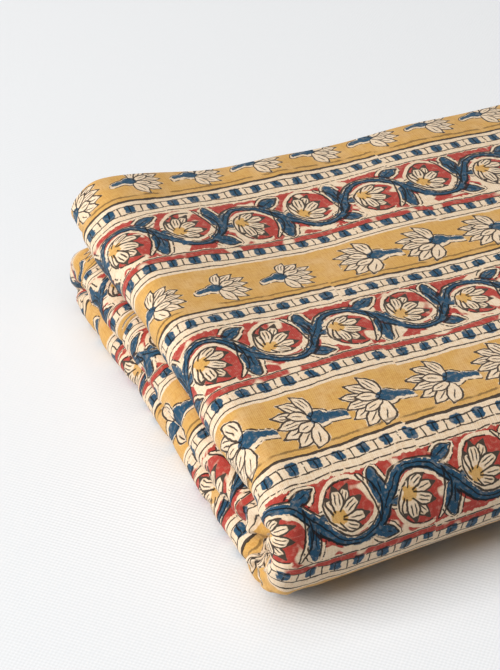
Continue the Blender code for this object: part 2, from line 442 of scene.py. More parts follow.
@dataclass(frozen=True)
class Crumple:
    """A place where the cloth is crumpled: its middle, reach, height and wave, in millimetres."""

    middle: tuple[float, float, float]
    reach: float
    height: float
    wave: float
    cross: float = 0.6
    phases: tuple[float, float, float] = (0.4, 2.1, 4.0)

    def moved(self, points: np.ndarray) -> np.ndarray:
        """Shift points by crossed sine waves of their own places, which fade away from the middle.

        Neighbours move almost alike, so that layers stay clear of each other.
        """
        places = points / MM
        fade = np.exp(-((places - self.middle) ** 2).sum(-1) / self.reach ** 2)
        turned = np.roll(places, 1, axis=-1) + self.cross * np.roll(places, 2, axis=-1)
        waves = np.sin(turned * (2.0 * math.pi / self.wave) + np.array(self.phases))
        return points + (fade * self.height)[..., None] * waves * MM


@dataclass(frozen=True)
class Ripple:
    """A slow unevenness of the face: a wandering ripple and a slanting one, in millimetres."""

    height: float = 0.28
    along: float = 9.5
    across: float = 12.0
    phase: float = 0.9
    wander: float = 1.3
    wander_length: float = 17.0
    slant: tuple[float, float, float] = (21.0, -15.0, 2.0)

    def at(self, x: np.ndarray, y: np.ndarray) -> np.ndarray:
        """Depth at a place: sin(x/a + w sin(y/l)) times sin(y/b + p), plus sin(x/c + y/d + q)."""
        wandering = np.sin(x / self.along + self.wander * np.sin(y / self.wander_length))
        slant_x, slant_y, phase = self.slant
        return self.height * (wandering * np.sin(y / self.across + self.phase)
                              + np.sin(x / slant_x + y / slant_y + phase))


@dataclass(frozen=True)
class Creases:
    """The cloth's creases and puckers, in millimetres, listed one by one."""

    troughs: tuple[Crease, ...] = (
        Crease((-140, 134), (-138, 52), 7.0, 3.2),
        Crease((-146, 60), (-96, 84), 5.0, 0.9),
        Crease((-140, 20), (-88, 34), 7.0, 0.6),
        Crease((-146, -30), (-104, -12), 6.0, 0.8),
        Crease((-60, 86), (10, 66), 9.0, 0.7),
        Crease((-90, -58), (-20, -46), 8.0, 0.7),
        Crease((20, 30), (110, 12), 10.0, 0.8),
        Crease((60, -40), (140, -58), 8.0, 0.8),
        Crease((-147, -78), (-122, -92), 3.0, 0.9),
        Crease((-146, -104), (-118, -98), 3.2, 1.0),
        Crease((-144, -122), (-126, -112), 3.0, 0.8),
        Crease((-70, -118), (0, -94), 7.0, 0.7),
        Crease((30, -96), (120, -112), 8.0, 0.8),
        Crease((-120, 52), (-60, 44), 8.0, -0.5),
        Crease((-30, 10), (60, 2), 10.0, -0.5),
    )
    puckers: tuple[Pucker, ...] = (
        Pucker(-509.0, 3.4, 5.0), Pucker(-497.0, 2.0, 2.4), Pucker(-487.0, 2.6, 1.4),
        Pucker(-471.0, 4.0, 1.2), Pucker(-446.0, 2.4, 1.8), Pucker(-413.0, 4.0, 1.0),
        Pucker(-392.0, 1.6, 3.2), Pucker(-371.0, 4.0, 1.0), Pucker(-352.0, 3.0, 2.0),
        Pucker(-318.0, 3.0, 1.6), Pucker(-288.0, 4.0, 1.0), Pucker(-254.0, 3.0, 1.4),
        Pucker(-221.0, 4.0, 0.8), Pucker(-184.0, 3.0, 1.2), Pucker(-152.0, 2.4, 2.2),
        Pucker(-140.5, 2.2, 3.2), Pucker(-130.0, 1.8, 1.6), Pucker(-97.0, 4.0, 0.7),
        Pucker(-20.0, 6.0, 0.5), Pucker(24.0, 7.0, 0.6), Pucker(86.0, 3.0, 1.2),
    )
    crumples: tuple[Crumple, ...] = (
        Crumple((-139.0, -77.0, 20.0), 14.0, 1.5, 10.5),
        Crumple((-141.0, -80.0, 18.0), 11.0, 0.75, 5.4),
        Crumple((-141.0, 78.0, 20.0), 12.0, 0.9, 9.0),
        Crumple((-141.0, 5.0, 20.0), 10.0, 0.5, 8.0),
    )
    ripple: Ripple = Ripple()

    def dent(self, x: np.ndarray, across: np.ndarray) -> np.ndarray:
        """How far the outer face is pressed in: the sum of its creases and the ripple."""
        x, across = x / MM, across / MM
        return (sum(trough.at(x, across) for trough in self.troughs) + self.ripple.at(x, across)) * MM

    def draw_in(self, across: np.ndarray) -> np.ndarray:
        """How far the left folds are drawn in at a place across: a bell curve for each pucker."""
        across = across / MM
        return sum(pucker.depth * np.exp(-((across - pucker.across) / pucker.half_width) ** 2)
                   for pucker in self.puckers) * MM


@dataclass
class FoldedCloth:
    """The printed cloth in its folds.

    The side ink says how much print shows on the strip's two ends, the cloth's two free edges, its
    printed face and its back. The flat size is worked out with the cloth's points.
    """

    pad: Pad = Pad()
    plies: Plies = Plies()
    creases: Creases = Creases()
    layers_per_ply: int = 4
    layer_groove: float = 1.1 * MM
    straight_from: float = -60 * MM
    sharp_angle: float = 50.0
    side_ink: tuple[float, ...] = (0.25, 0.25, 0.25, 0.25, 1.0, 0.6)
    flat_size: tuple[float, float] = (0.0, 0.0)
    name: str = "printed_cloth"

    def grid(self) -> tuple[np.ndarray, np.ndarray, np.ndarray]:
        """Corner points of the cloth, and where each lies on the flat cloth.

        A point's depth under the strip's outer face is half the strip's thickness, less its level
        times the distance between plies, less half a ply towards the face it is on. The place
        along the stripes is the length run along the ply's middle line, and the place across
        them is the length run along the strip's outer face, from where the top crosses the pad's
        middle. A point that a crumple pushes through the table is lifted back onto it.

        Returns:
            Points as stations by section points by steps through the ply by xyz, and the places
            along and across as stations by section points.
        """
        pad = self.pad
        line = self.plies.line(pad.ply_ends)
        face = pad.stations(pad.left + pad.length * line.run)
        ply = np.minimum(pad.ply, face.thickness * pad.ply_share)
        pitch = (face.thickness - ply) / PLY_GAPS
        across = self.lengths(np.stack([face.y * 0.0, face.y, face.z], -1), axis=0)
        top = slice(len(face.y) - pad.steps.top, None)
        across = across - np.array([np.interp(0.0, y, run) for y, run in zip(face.y[top].T, across[top].T)])
        at_fold = [int(np.argmin(line.run))]
        back = face.inset + sum(wave.at(0.0, face.y) for wave in pad.nose_waves)
        back = back + self.creases.draw_in(across)
        left = pad.left + (back + face.thickness / 2)[:, at_fold]
        right = pad.right - ply / 2 - pitch / 2 - line.short
        middle_x = left + (right - left) * line.run + line.bulge * pitch
        dent = self.creases.dent(middle_x, across) * np.clip(line.level / PLY_GAPS + 0.5, 0.0, 1.0)
        depths = face.thickness / 2 - line.level * pitch + dent
        layers = []
        for step in np.linspace(1.0, -1.0, 2 * self.layers_per_ply + 1):
            half = ply / 2 * step
            depth = depths - half * line.face_level
            layers.append(np.stack([middle_x + half * line.face_x, face.y - face.out_y * depth,
                                    face.z - face.out_z * depth], -1))
        points = np.stack(layers, axis=2)
        for crumple in self.creases.crumples:
            points = crumple.moved(points)
        points[..., 2] = np.maximum(points[..., 2], 0.0)
        middle = points[:, :, self.layers_per_ply]
        along = self.lengths(middle, axis=1)
        straight = int(np.argmin(np.abs(pad.left + pad.length * line.run[:self.plies.outer_ply]
                                        - self.straight_from)))
        along = along[:, [straight]] - along + middle[:, [straight], 0]
        self.flat_size = (float(np.ptp(along, axis=1).mean()), float(np.ptp(across, axis=0).mean()))
        across = print_across(along / MM, across / MM, PrintSizes()) * MM
        return points, along, across

    @staticmethod
    def lengths(points: np.ndarray, axis: int) -> np.ndarray:
        """Running length of the polylines that lie along one axis of a grid of points."""
        steps = np.linalg.norm(np.diff(points, axis=axis), axis=-1)
        start = np.zeros_like(np.take(steps, [0], axis=axis))
        return np.cumsum(np.concatenate([start, steps], axis=axis), axis=axis)

    def groove_ends(self, points: np.ndarray) -> None:
        """Draw every other step through a ply back from its free ends, as thin layers show there.

        The first and last columns move along X, and the first and last rows along the cloth.
        """
        odd = np.arange(points.shape[2]) % 2 == 1
        for column in (0, -1):
            points[:, column, odd, 0] -= self.layer_groove
        for row, inner in ((0, 1), (-1, -2)):
            step = points[inner] - points[row]
            size = np.linalg.norm(step, axis=-1, keepdims=True)
            points[row][:, odd] += (step / size)[:, odd] * self.layer_groove

    @staticmethod
    def shell(shape: tuple[int, int, int]) -> list[np.ndarray]:
        """Quads on the six sides of a block of points, all facing out of it.

        Args:
            shape: how many points the block has each way.

        Returns:
            Quads of point numbers for each side: the strip's two ends, the cloth's two free
            edges, its printed face and its back.
        """
        index = np.arange(int(np.prod(shape))).reshape(shape)
        sides = []
        for axis in range(3):
            for end in (0, -1):
                side = np.take(index, end, axis=axis)
                quads = np.stack([side[:-1, :-1], side[1:, :-1], side[1:, 1:], side[:-1, 1:]], -1)
                flip = (end == 0) ^ (axis == 1)
                sides.append(quads.reshape(-1, 4)[:, ::-1 if flip else 1])
        return sides

    def build(self) -> bpy.types.Object:
        """Make the cloth's mesh, with its flat places as a UV map and its sides' ink as an attribute.

        Returns:
            The cloth's object.
        """
        points, along, across = self.grid()
        self.groove_ends(points)
        sides = self.shell(points.shape[:3])
        used, quads = np.unique(np.concatenate(sides), return_inverse=True)
        quads = quads.reshape(-1, 4)
        flat = np.broadcast_to(np.stack([along, across], -1)[:, :, None], (*points.shape[:3], 2))
        flat = flat.reshape(-1, 2)[used]
        mesh = bpy.data.meshes.new(self.name)
        mesh.vertices.add(len(used))
        mesh.vertices.foreach_set("co", points.reshape(-1, 3)[used].astype(np.float32).ravel())
        mesh.loops.add(quads.size)
        mesh.loops.foreach_set("vertex_index", quads.astype(np.int32).ravel())
        mesh.polygons.add(len(quads))
        mesh.polygons.foreach_set("loop_start", np.arange(0, quads.size, 4, dtype=np.int32))
        mesh.update(calc_edges=True)
        mesh.shade_smooth()
        uv = mesh.uv_layers.new(name=CLOTH_MAP)
        uv.data.foreach_set("uv", flat[quads.ravel()].astype(np.float32).ravel())
        ink = np.repeat(self.side_ink, [len(side) for side in sides])
        mesh.attributes.new(INK_ATTRIBUTE, "FLOAT", "FACE").data.foreach_set("value", ink.astype(np.float32))
        mesh.set_sharp_from_angle(angle=math.radians(self.sharp_angle))
        return linked(self.name, mesh)


class Field:
    """A number that changes over the cloth: an output of a node in a tree."""

    def __init__(self, tree: bpy.types.NodeTree, socket: bpy.types.NodeSocket) -> None:
        """Keep the node tree and the output."""
        self.tree = tree
        self.socket = socket

    def __add__(self, other: "Field | float") -> "Field":
        """This number and another."""
        return maths("ADD", self, other)

    def __sub__(self, other: "Field | float") -> "Field":
        """This number less another."""
        return maths("SUBTRACT", self, other)

    def __rsub__(self, other: float) -> "Field":
        """A plain number less this one."""
        return maths("SUBTRACT", other, self)

    def __mul__(self, other: "Field | float") -> "Field":
        """This number times another."""
        return maths("MULTIPLY", self, other)

    def __truediv__(self, other: "Field | float") -> "Field":
        """This number divided by another."""
        return maths("DIVIDE", self, other)

    def __abs__(self) -> "Field":
        """Its size."""
        return maths("ABSOLUTE", self)


def maths(operation: str, *values: "Field | float", clamp: bool = False) -> Field:
    """Work out one step of a sum at each point of the cloth.

    Args:
        operation: name of the Math node's operation.
        values: its numbers, of which one at least changes over the cloth.
        clamp: hold the result between 0 and 1.

    Returns:
        The result.
    """
    tree = next(value.tree for value in values if isinstance(value, Field))
    node = tree.nodes.new("ShaderNodeMath")
    node.operation = operation
    node.use_clamp = clamp
    for socket, value in zip(node.inputs, values):
        if isinstance(value, Field):
            tree.links.new(value.socket, socket)
        else:
            socket.default_value = value
    return Field(tree, node.outputs[0])


def least(*values: Field | float) -> Field:
    """Least of several numbers."""
    return reduce(partial(maths, "MINIMUM"), values)


def most(*values: Field | float) -> Field:
    """Greatest of several numbers: where any of several masks is."""
    return reduce(partial(maths, "MAXIMUM"), values)


def both(*masks: Field) -> Field:
    """Where all of several masks are."""
    return reduce(partial(maths, "MULTIPLY"), masks)


def outside(mask: Field, cover: Field) -> Field:
    """A mask where another one doesn't cover it."""
    return maths("SUBTRACT", mask, cover, clamp=True)


def scaled(value: Field, factor: float, plus: float, clamp: bool = False) -> Field:
    """A number times a factor, plus a constant."""
    return maths("MULTIPLY_ADD", value, factor, plus, clamp=clamp)


# How soft a mask's edge is, in millimetres: that of a shape, a line, a wet dye and a mere side
SHAPE_EDGE = 0.18
LINE_EDGE = 0.16
DYE_EDGE = 0.3
SIDE_EDGE = 0.01


def fill(distance: Field, edge: float = SHAPE_EDGE) -> Field:
    """Mask of a shape's inside, from the distance to its outline, which is below 0 inside."""
    return scaled(distance, -1.0 / edge, 0.5, clamp=True)


def above(value: Field, level: float, edge: float) -> Field:
    """Mask of where a number is over a level."""
    return scaled(value, 1.0 / edge, 0.5 - level / edge, clamp=True)


def beyond(distance: Field) -> Field:
    """Mask of what lies outside a shape."""
    return above(distance, 0.0, SHAPE_EDGE)


def stroke(distance: Field, half: float, edge: float = LINE_EDGE) -> Field:
    """Mask of a line, from the distance to its middle and half its width."""
    return scaled(abs(distance), -1.0 / edge, 0.5 + half / edge, clamp=True)


def signed(mask: Field) -> Field:
    """1 where a mask is and -1 where it isn't."""
    return scaled(mask, 2.0, -1.0)


def wobble(noise: Field, swing: float) -> Field:
    """A noise from 0 to 1 as one about 0, from minus to plus half a swing."""
    return scaled(noise, swing, -swing / 2)


def wrap(value: Field, period: float) -> Field:
    """Place in a repeat, counted from its middle."""
    return maths("FLOORED_MODULO", value + period / 2, period) - period / 2


def nearest(value: Field, period: float) -> Field:
    """Distance to the nearest multiple of a period."""
    return maths("PINGPONG", value, period / 2)


def radius(first: Field, second: Field) -> Field:
    """Length of the line from the origin to first, second."""
    return maths("SQRT", maths("MULTIPLY_ADD", first, first, second * second))


def lookup(value: Field, points: tuple[tuple[float, float], ...]) -> Field:
    """Read a smooth curve through given points.

    Args:
        value: where to read it, from 0 to 1.
        points: the curve's points, as pairs from 0 to 1.

    Returns:
        The curve's height.
    """
    node = value.tree.nodes.new("ShaderNodeFloatCurve")
    drawn = node.mapping.curves[0].points
    while len(drawn) < len(points):
        drawn.new(0.5, 0.5)
    for point, place in zip(drawn, points):
        point.location = place
        point.handle_type = "AUTO"
    node.mapping.update()
    value.tree.links.new(value.socket, node.inputs["Value"])
    return Field(value.tree, node.outputs[0])


def axes(tree: bpy.types.NodeTree, vector: bpy.types.NodeSocket) -> list[Field]:
    """Take X and Y out of a vector.

    Args:
        tree: the node tree that it is in.
        vector: the vector.

    Returns:
        Its X and its Y.
    """
    split = tree.nodes.new("ShaderNodeSeparateXYZ")
    tree.links.new(vector, split.inputs[0])
    return [Field(tree, split.outputs[axis]) for axis in "XY"]


def channels(tree: bpy.types.NodeTree, colour: bpy.types.NodeSocket) -> list[Field]:
    """Take a colour apart.

    Args:
        tree: the node tree that it is in.
        colour: the colour.

    Returns:
        Its red, green and blue, as three numbers.
    """
    split = tree.nodes.new("ShaderNodeSeparateColor")
    tree.links.new(colour, split.inputs["Color"])
    return [Field(tree, output) for output in split.outputs]


class Ink(NamedTuple):
    """Where ink takes on the cloth: the level that a noise has to pass, and how soft the edge is."""

    level: float
    edge: float

    def takes(self, noise: Field) -> Field:
        """Mask of where it takes."""
        return above(noise, self.level, self.edge)


@dataclass(frozen=True)
class PrintSizes:
    """Sizes of the block print on the flat cloth, in millimetres."""

    row_gap: float = 38.5
    check: float = 8.45
    roundel: float = 24.8
    lotus: float = 24.8
    lowest_band: int = -6
    place_span: float = 400.0

    @property
    def band(self) -> float:
        """From one scroll's lower row of checks to the next one's."""
        return 2.0 * self.row_gap

    def as_share(self, place: float) -> float:
        """A place along the cloth as a number from 0 to 1, which a table of colours can hold."""
        return place / self.place_span + 0.5

    def as_place(self, share: Field) -> Field:
        """The place along the cloth that such a number stands for."""
        return wobble(share, self.place_span)


class Board:
    """A node group in the making: a drawing in millimetres, with named inputs and outputs."""

    def __init__(self, name: str, *inputs: str) -> None:
        """Start a group with the named inputs, each one a number."""
        self.tree = bpy.data.node_groups.new(name, "ShaderNodeTree")
        entry = self.tree.nodes.new("NodeGroupInput")
        for label in inputs:
            self.tree.interface.new_socket(label, in_out="INPUT", socket_type="NodeSocketFloat")
        self.numbers = [Field(self.tree, entry.outputs[label]) for label in inputs]

    def noise(self, along: Field, across: Field, size: float, detail: float = 1.0) -> bpy.types.Node:
        """Soft noise over the cloth, about 0.5.

        Args:
            along: place along the stripes in millimetres.
            across: place across them.
            size: size of its blots in millimetres.
            detail: how many finer noises are added to it.

        Returns:
            The noise's node.
        """
        place = self.tree.nodes.new("ShaderNodeCombineXYZ")
        self.tree.links.new(along.socket, place.inputs["X"])
        self.tree.links.new(across.socket, place.inputs["Y"])
        node = self.tree.nodes.new("ShaderNodeTexNoise")
        node.noise_dimensions = "2D"
        node.inputs["Scale"].default_value = 1.0 / size
        node.inputs["Detail"].default_value = detail
        self.tree.links.new(place.outputs[0], node.inputs["Vector"])
        return node

    def noises(self, along: Field, across: Field, size: float, detail: float = 1.0) -> list[Field]:
        """Three soft noises of one size."""
        return channels(self.tree, self.noise(along, across, size, detail).outputs["Color"])

    def by_row(self, sizes: PrintSizes, across: Field, start: float,
               table: list[tuple[float, float, float]]) -> list[Field]:
        """Read three numbers that a short table gives for each band of the print.

        Args:
            sizes: the print's sizes.
            across: place across the stripes of the print.
            start: where band 0 starts.
            table: three numbers from 0 up for each band, from the lowest one.

        Returns:
            The three numbers.
        """
        ramp = self.tree.nodes.new("ShaderNodeValToRGB")
        ramp.color_ramp.interpolation = "CONSTANT"
        stops = ramp.color_ramp.elements
        stops.remove(stops[1])
        for place in range(1, len(table)):
            stops.new(place / len(table))
        for stop, values in zip(stops, table):
            stop.color = (*values, 1.0)
        band = maths("FLOOR", (across - start) / sizes.band)
        share = scaled(band, 1.0 / len(table), (0.5 - sizes.lowest_band) / len(table))
        self.tree.links.new(share.socket, ramp.inputs["Fac"])
        return channels(self.tree, ramp.outputs["Color"])

    def give(self, **results: Field) -> bpy.types.NodeTree:
        """Name the group's outputs and finish it.

        Args:
            results: what the group gives, by name in small letters.

        Returns:
            The finished group.
        """
        leave = self.tree.nodes.new("NodeGroupOutput")
        for name, result in results.items():
            label = name.capitalize()
            self.tree.interface.new_socket(label, in_out="OUTPUT", socket_type="NodeSocketFloat")
            self.tree.links.new(result.socket, leave.inputs[label])
        return self.tree


def placed(group: bpy.types.NodeTree, **values: Field) -> dict[str, Field]:
    """Place a group in the tree of its inputs, and join them by name.

    Args:
        group: the group.
        values: its inputs.

    Returns:
        Its outputs, by name.
    """
    tree = next(iter(values.values())).tree
    node = tree.nodes.new("ShaderNodeGroup")
    node.node_tree = group
    for name, value in values.items():
        tree.links.new(value.socket, node.inputs[name])
    return {output.name: Field(tree, output) for output in node.outputs}


class CheckRow(NamedTuple):
    """Where a row of checks lies: its number, its place across the cloth, and its drift.

    The place is the one at the left, and the drift is how much further across the row lies where
    the checks' span ends.
    """

    row: float
    across: float
    drift: float = 0.0


CHECK_ROWS = (
    CheckRow(-12.0, -499.6), CheckRow(-11.0, -462.0), CheckRow(-10.0, -427.5),
    CheckRow(-9.0, -396.5), CheckRow(-8.88, -392.6), CheckRow(-8.12, -391.4),
    CheckRow(-8.0, -387.6), CheckRow(-7.0, -359.8), CheckRow(-6.0, -340.0),
    CheckRow(-5.0, -305.5), CheckRow(-4.0, -272.0), CheckRow(-3.0, -238.0),
    CheckRow(-2.0, -201.0), CheckRow(-1.0, -162.5), CheckRow(0.0, -115.7),
    CheckRow(1.0, -78.3), CheckRow(2.0, -38.0, -1.2), CheckRow(3.0, 0.9, -5.1),
    CheckRow(4.0, 34.2, -5.9), CheckRow(5.0, 72.8, -3.5),
)
CHECKS_LEFT = -110.0
CHECKS_SPAN = 110.0
CHECKS_REACH = (-0.3, 1.3)
PLAIN_GAP = 38.4


def print_across(along: np.ndarray, across: np.ndarray, sizes: PrintSizes) -> np.ndarray:
    """Stretch the cloth between the rows of checks, so that the print's rows are evenly spaced.

    Between two rows of the table the result rises in a straight line from the one's number to the
    other's, and past the first and the last it goes on at the plain gap. A crease that hides some
    of the cloth is a short steep stretch.

    Args:
        along: place along the stripes in millimetres.
        across: place across them.
        sizes: the print's sizes.

    Returns:
        Place across the stripes of the print, 0 at row 0.
    """
    share = np.clip((along - CHECKS_LEFT) / CHECKS_SPAN, *CHECKS_REACH)
    places = [row.across + row.drift * share for row in CHECK_ROWS]
    placed_at = CHECK_ROWS[0].row + (np.minimum(across - places[0], 0.0)
                                     + np.maximum(across - places[-1], 0.0)) / PLAIN_GAP
    for first, second, low, high in zip(CHECK_ROWS, CHECK_ROWS[1:], places, places[1:]):
        passed = np.clip((across - low) / (high - low), 0.0, 1.0)
        placed_at = placed_at + passed * (second.row - first.row)
    return placed_at * sizes.row_gap


class ScrollRow(NamedTuple):
    """Where one scroll's blocks start, in millimetres along the cloth.

    The values are for a blue check in its lower and its upper row and for an upper roundel. The
    slip says how far its blue checks are stamped off their row. At the join one block ends and the
    next starts, a little up or down. Bold is how much thicker its vine is drawn.
    """

    low_check: float
    high_check: float
    roundel: float
    slip: float
    join: float
    bold: float = 0.15


class LotusRow(NamedTuple):
    """Where a calyx lies among the lotuses of an ochre stripe, in millimetres along the cloth.

    The values are for those whose stems point left, for those whose stems point right, and for the
    place where the first kind gives way to the second.
    """

    stem_left: float
    stem_right: float
    turn: float


SCROLL_ROWS = (
    ScrollRow(1.0, 5.0, 3.0, 0.5, -20.0),
    ScrollRow(4.0, 2.2, 20.0, 0.5, 60.0),
    ScrollRow(6.5, 0.4, -8.0, 0.5, -100.0),
    ScrollRow(3.1, 7.7, 12.0, 0.5, 15.0),
    ScrollRow(0.3, 4.9, 31.0, 0.5, -55.0),
    ScrollRow(7.0, 3.3, -20.0, 0.5, 40.0),
    ScrollRow(2.55, 5.15, -116.7, 0.75, -88.0, 0.4),
    ScrollRow(5.48, 4.2, -106.2, -0.6, -76.0, 0.1),
    ScrollRow(2.31, 1.27, -109.7, 0.2, -22.0, 0.0),
)
LOTUS_ROWS = (
    LotusRow(4.0, 4.0, -200.0),
    LotusRow(15.0, 15.0, 200.0),
    LotusRow(22.0, 22.0, -200.0),
    LotusRow(9.0, 9.0, 200.0),
    LotusRow(1.0, 1.0, -200.0),
    LotusRow(18.0, 18.0, 200.0),
    LotusRow(11.4, 11.4, -200.0),
    LotusRow(9.6, 20.4, -72.0),
    LotusRow(6.0, 6.0, 200.0),
)


@dataclass(frozen=True)
class HandPrint:
    """The unevenness of a print stamped by hand: blocks that wobble, and ragged ink."""

    sizes: PrintSizes = PrintSizes()
    blot: float = 9.0
    shift: float = 1.5
    grain: float = 1.7
    grain_detail: float = 2.0
    grain_shift: float = 0.55
    join_step: float = 0.9
    bare_half: float = 0.35
    bare_edge: float = 0.2
    bare_wobble: float = 2.0

    def group(self) -> bpy.types.NodeTree:
        """Shift each place by two soft noises: a coarse one for the block, a fine one for the ink.

        Returns:
            A group from a flat place to a shifted place, to one stepped at the block joins, to the
            bare gap at a join and to two ink noises.
        """
        sizes = self.sizes
        board = Board("hand_print", "Along", "Across")
        along, across = board.numbers
        coarse = board.noises(along, across, self.blot)
        fine = board.noises(along, across, self.grain, self.grain_detail)
        moved, shifted = (place + wobble(slow, self.shift) + wobble(quick, self.grain_shift)
                          for place, slow, quick in zip(board.numbers, coarse, fine))
        join, _, _ = board.by_row(sizes, across, -sizes.row_gap / 2, [
            (sizes.as_share(row.join), 0.0, 0.0) for row in SCROLL_ROWS])
        past = along - sizes.as_place(join)
        stepped = shifted + wobble(above(past, 0.0, DYE_EDGE), self.join_step)
        bare = stroke(past + wobble(fine[2], self.bare_wobble), self.bare_half, self.bare_edge)
        return board.give(along=moved, across=shifted, stepped=stepped, bare=bare,
                          ragged=fine[2], patchy=coarse[2])


@dataclass(frozen=True)
class CheckRows:
    """Rows of blue checks between thin rails, with the lines on either side of them.

    Lines are given by how far they lie from the row's middle, towards the ochre stripe. The
    row above a scroll has the thick line and the olive one, the row below it the red one.
    """

    sizes: PrintSizes = PrintSizes()
    half_height: float = 2.2
    half_width: float = 1.95
    corner: float = 1.1
    ragged_check: float = 1.3
    patchy_check: float = 1.6
    rail: float = 2.1
    tick_half: float = 0.26
    line_half: float = 0.28
    line_ink: Ink = Ink(0.34, 0.08)
    inner_line: float = -5.0
    outer_line: float = 4.9
    thick_half: float = 0.62
    olive_line: float = 7.9
    olive_half: float = 0.5
    olive_wobble: float = 0.8
    olive_ink: Ink = Ink(0.42, 0.1)
    olive_strength: float = 0.62
    red_line: float = -3.5
    red_half: float = 1.15
    red_ink: Ink = Ink(0.36, 0.08)
    cream: Ink = Ink(6.4, 0.25)
    thick_reach: float = 1.2

    def group(self) -> bpy.types.NodeTree:
        """Draw rails, ticks, checks and lines by their distance from the row's middle.

        A check is a box with round corners. The table holds each slip with 1 added to it, because
        its numbers start at 0.

        Returns:
            A group with masks of the blue, the black lines, the red line and the ochre stripe.
        """
        sizes = self.sizes
        board = Board("check_rows", "Along", "Across", "Ragged", "Patchy")
        along, across, ragged, patchy = board.numbers
        low, high, slip = board.by_row(sizes, across, -sizes.row_gap / 2, [
            (row.low_check / sizes.check, row.high_check / sizes.check, row.slip + 1.0)
            for row in SCROLL_ROWS])
        centred = wrap(across - sizes.row_gap / 2, sizes.band)
        upper = above(centred, 0.0, SIDE_EDGE)
        beside = abs(centred) - sizes.row_gap / 2
        place = along - maths("MULTIPLY_ADD", upper, high - low, low) * sizes.check
        lift = beside - (slip - 1.0) * signed(upper)
        check = radius(most(nearest(place, sizes.check) - (self.half_width - self.corner), 0.0),
                       most(abs(lift) - (self.half_height - self.corner), 0.0)) - self.corner
        blue = fill(check + wobble(ragged, self.ragged_check) + wobble(patchy, self.patchy_check), DYE_EDGE)
        off_rail = abs(beside) - self.rail
        ticks = both(stroke(nearest(place, sizes.check / 2), self.tick_half), fill(off_rail))
        thin = most(stroke(off_rail, self.line_half), ticks, stroke(beside - self.inner_line, self.line_half))
        half = scaled(upper, self.thick_half - self.line_half, self.line_half)
        outer = fill(abs(beside - self.outer_line) - half, LINE_EDGE)
        off_olive = beside - self.olive_line + wobble(ragged, self.olive_wobble)
        olive = both(stroke(off_olive, self.olive_half, DYE_EDGE), upper, self.olive_ink.takes(patchy))
        olive = olive * self.olive_strength
        line = most(both(thin, self.line_ink.takes(ragged)), outer, olive)
        red = both(stroke(beside - self.red_line, self.red_half), 1.0 - upper, self.red_ink.takes(patchy))
        ochre = self.cream.takes(beside + upper * self.thick_reach)
        return board.give(blue=blue, line=line, red=red, ochre=ochre)


class Veins(Enum):
    """Strokes drawn inside a petal or leaf."""

    NONE = 0
    RIB = 1
    PAIR = 2


class Lens(NamedTuple):
    """A bent lens: the distance outside it, the distance from its rib and the share of its length."""

    outside: Field
    rib: Field
    share: Field


PETAL_SHAPE = ((0.0, 0.42), (0.25, 0.80), (0.5, 1.0), (0.68, 0.86), (0.84, 0.42), (1.0, 0.0))


@dataclass(frozen=True)
class Petal:
    """A pointed petal or leaf: where it starts and ends, half its width, its bend and its strokes."""

    start: tuple[float, float]
    end: tuple[float, float]
    half_width: float
    bend: float = 0.0
    veins: Veins = Veins.RIB

    def draw(self, x: Field, y: Field) -> Lens:
        """Draw it as a bent lens.

        Its rib is off the straight line by 4t(1 - t) of the bend at the share t of its length,
        and a curve gives its width there. Past either end the distance grows with the length.

        Args:
            x: place along the motif.
            y: place across it.

        Returns:
            The lens.
        """
        run, rise = self.end[0] - self.start[0], self.end[1] - self.start[1]
        length = math.hypot(run, rise)
        ahead_x, ahead_y = run / length, rise / length
        dx, dy = x - self.start[0], y - self.start[1]
        share = maths("MULTIPLY_ADD", dx, ahead_x / length, dy * (ahead_y / length))
        off = maths("MULTIPLY_ADD", dx, -ahead_y, dy * ahead_x)
        rib = maths("MULTIPLY_ADD", share * (1.0 - share), -4.0 * self.bend, off)
        past = most(abs(share - 0.5) - 0.5, 0.0)
        width = maths("MULTIPLY_ADD", lookup(share, PETAL_SHAPE), -self.half_width, past * length)
        return Lens(abs(rib) + width, rib, share)


@dataclass(frozen=True)
class Spray:
    """Petals or leaves drawn one over another, the back ones first.

    A vein's middle and half its length are shares of the petal's length, and a pair of veins lies
    at a share of half its width to either side.
    """

    petals: tuple[Petal, ...]
    line_half: float = 0.35
    tip: Ink = Ink(0.9, 0.03)
    outlined: bool = True
    vein_half: float = 0.23
    vein_middle: float = 0.52
    vein_reach: float = 0.2
    vein_fade: float = 0.1
    pair_spread: float = 0.33

    def draw(self, x: Field, y: Field) -> tuple[Field, Field]:
        """Draw the petals' outlines, strokes and dark tips, each one hiding those behind it.

        Args:
            x: place along the motif.
            y: place across it.

        Returns:
            The distance outside all of them and the mask of their black lines.
        """
        distances, lines = [], []
        for petal in self.petals:
            lens = petal.draw(x, y)
            inside = fill(lens.outside)
            ink = both(inside, self.tip.takes(lens.share))
            if self.outlined:
                ink = most(ink, stroke(lens.outside, self.line_half))
            if petal.veins is not Veins.NONE:
                spread = self.pair_spread * petal.half_width
                rib = abs(lens.rib) - spread if petal.veins is Veins.PAIR else lens.rib
                reach = stroke(lens.share - self.vein_middle, self.vein_reach, self.vein_fade)
                ink = most(ink, both(stroke(rib, self.vein_half), reach))
            lines = [most(outside(lines[0], inside), ink) if lines else ink]
            distances = [least(distances[0], lens.outside) if distances else lens.outside]
        return distances[0], lines[0]


